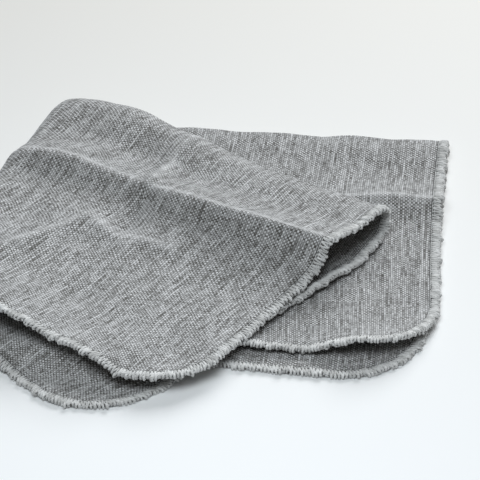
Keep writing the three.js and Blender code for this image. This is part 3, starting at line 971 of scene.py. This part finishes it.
# The needle thread's stitches lie in the groove and dip through the cloth at both ends.
NEEDLE_SHAPE = ((0.06, 1.04, 0.3), (0.30, 1.04, 0.58), (0.70, 1.04, 0.58), (0.94, 1.04, 0.3))
NEEDLE_REACH = (0.99, 1.01)
needle_runs = [stitch_paths(NEEDLE_SHAPE, face, NEEDLE_REACH) for face in (1, -1)]
needle = thread_runs("needle_thread", np.concatenate(needle_runs), NEEDLE_RADIUS, sides=4)

# The darkest and the palest thread, how many patches and fibres it has for each metre, and
# how much the fibres show
GREY_THREAD = (0.46, 0.46, 0.45, 1)
PALE_THREAD = (0.84, 0.845, 0.84, 1)
PATCH_SCALE = 260.0
FIBRE_SCALE = 3200.0
FIBRE_TONES = (-0.2, 0.2)


def thread_material():
    material = bpy.data.materials.new("pale_thread")
    nodes = ClothNodes(material)
    where = nodes.tree.nodes.new("ShaderNodeTexCoord").outputs["Object"]
    patches = nodes.noise(where, PATCH_SCALE, 3, 0.6)
    fibre = nodes.noise(where, FIBRE_SCALE, 2, 0.6)
    patch_tone = nodes.spread(patches, *NOISE_SPAN, 0, 0.5)
    tone = nodes.math("ADD", patch_tone, nodes.spread(nodes.read("shade"), 0, 1, 0, 0.5))
    tone = nodes.math("ADD", tone, nodes.spread(fibre, *NOISE_SPAN, *FIBRE_TONES))
    nodes.put(nodes.surface.inputs["Base Color"], nodes.blend(tone, GREY_THREAD, PALE_THREAD))
    nodes.surface.inputs["Roughness"].default_value = 0.9
    nodes.surface.inputs["Specular IOR Level"].default_value = 0.2
    nodes.surface.inputs["Sheen Weight"].default_value = 0.3
    nodes.bump(fibre, 0.6, 0.12 * MM)
    return material


thread_finish = thread_material()
for thread in (loopers, knots, needle):
    thread.data.materials.append(thread_finish)
    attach(thread, "root")


# The tabletop, the light and the camera
# The towel lies on a plain pale tabletop, whose colour holds painted light: lighter and cooler in
# front, darker and warmer behind. A broad light stands behind it on the right, and a weak lamp
# hangs close in front.

FLOOR_SIZE = 6.0
FLOOR_FRONT = -0.25
FLOOR_BACK = 0.3
FRONT_LIT_COLOUR = (0.95, 0.975, 1.0, 1)
BACK_SHADED_COLOUR = (0.85, 0.835, 0.79, 1)

bpy.ops.mesh.primitive_plane_add(size=FLOOR_SIZE)
floor = bpy.context.object
floor.name = "floor"
floor_material = bpy.data.materials.new("pale_top")
floor_nodes = ClothNodes(floor_material)
floor_place = floor_nodes.tree.nodes.new("ShaderNodeSeparateXYZ")
floor_where = floor_nodes.tree.nodes.new("ShaderNodeTexCoord").outputs["Object"]
floor_nodes.tree.links.new(floor_where, floor_place.inputs[0])
# Painted light: the top is lighter and cooler in front and darker and warmer behind, as light falls
# off towards the back.
towards_back = floor_nodes.spread(floor_place.outputs[1], FLOOR_FRONT, FLOOR_BACK, 0.0, 1.0)
floor_painted_light = floor_nodes.blend(towards_back, FRONT_LIT_COLOUR, BACK_SHADED_COLOUR)
floor_nodes.put(floor_nodes.surface.inputs["Base Color"], floor_painted_light)
floor_nodes.surface.inputs["Roughness"].default_value = 0.6
floor_nodes.surface.inputs["Specular IOR Level"].default_value = 0.2
floor.data.materials.append(floor_material)


def area_light(name, place, aim, size, energy, colour):
    light = bpy.data.lights.new(name, "AREA")
    light.shape = "DISK"
    light.size = size
    light.energy = energy
    light.color = colour
    holder = bpy.data.objects.new(name, light)
    bpy.context.scene.collection.objects.link(holder)
    holder.location = place
    holder.visible_camera = False
    beam = np.array(aim) - np.array(place)
    tilt = math.atan2(math.hypot(beam[0], beam[1]), -beam[2])
    holder.rotation_euler = (tilt, 0, math.atan2(beam[1], beam[0]) - math.pi / 2)


WINDOW_PLACE = (0.5, 1.13, 0.86)
WINDOW_COLOUR = (0.96, 0.98, 1.0)
LAMP_PLACE = (-0.02, -0.22, 0.46)
LAMP_AIM = (0, -0.05, 0)
LAMP_COLOUR = (0.9, 0.96, 1.0)
area_light("window", WINDOW_PLACE, (0, 0, 0), size=1.0, energy=21.0, colour=WINDOW_COLOUR)
area_light("lamp", LAMP_PLACE, LAMP_AIM, size=0.3, energy=1.35, colour=LAMP_COLOUR)

world = bpy.data.worlds.new("room")
bpy.context.scene.world = world
world.use_nodes = True
world.node_tree.nodes["Background"].inputs["Color"].default_value = (1.0, 0.95, 0.88, 1)
world.node_tree.nodes["Background"].inputs["Strength"].default_value = 0.08
bpy.context.scene.view_settings.view_transform = "Standard"

# The photo looks down at 37 degrees through a long lens, and the middle of its frame falls on
# the tabletop at this place in the towel's own plan.
VIEW_DOWN = math.radians(37)
VIEW_DISTANCE = 0.9
LENS_PIXELS = 2000
PHOTO_PIXELS = 480
SENSOR_WIDTH = 36

camera_data = bpy.data.cameras.new("camera")
camera_data.sensor_width = SENSOR_WIDTH
camera_data.lens = SENSOR_WIDTH * LENS_PIXELS / PHOTO_PIXELS
camera = bpy.data.objects.new("camera", camera_data)
bpy.context.scene.collection.objects.link(camera)
aim = -TOWEL_MIDDLE * MM
camera.location = (
    aim[0],
    aim[1] - VIEW_DISTANCE * math.cos(VIEW_DOWN),
    VIEW_DISTANCE * math.sin(VIEW_DOWN),
)
camera.rotation_euler = (math.pi / 2 - VIEW_DOWN, 0, 0)
bpy.context.scene.camera = camera
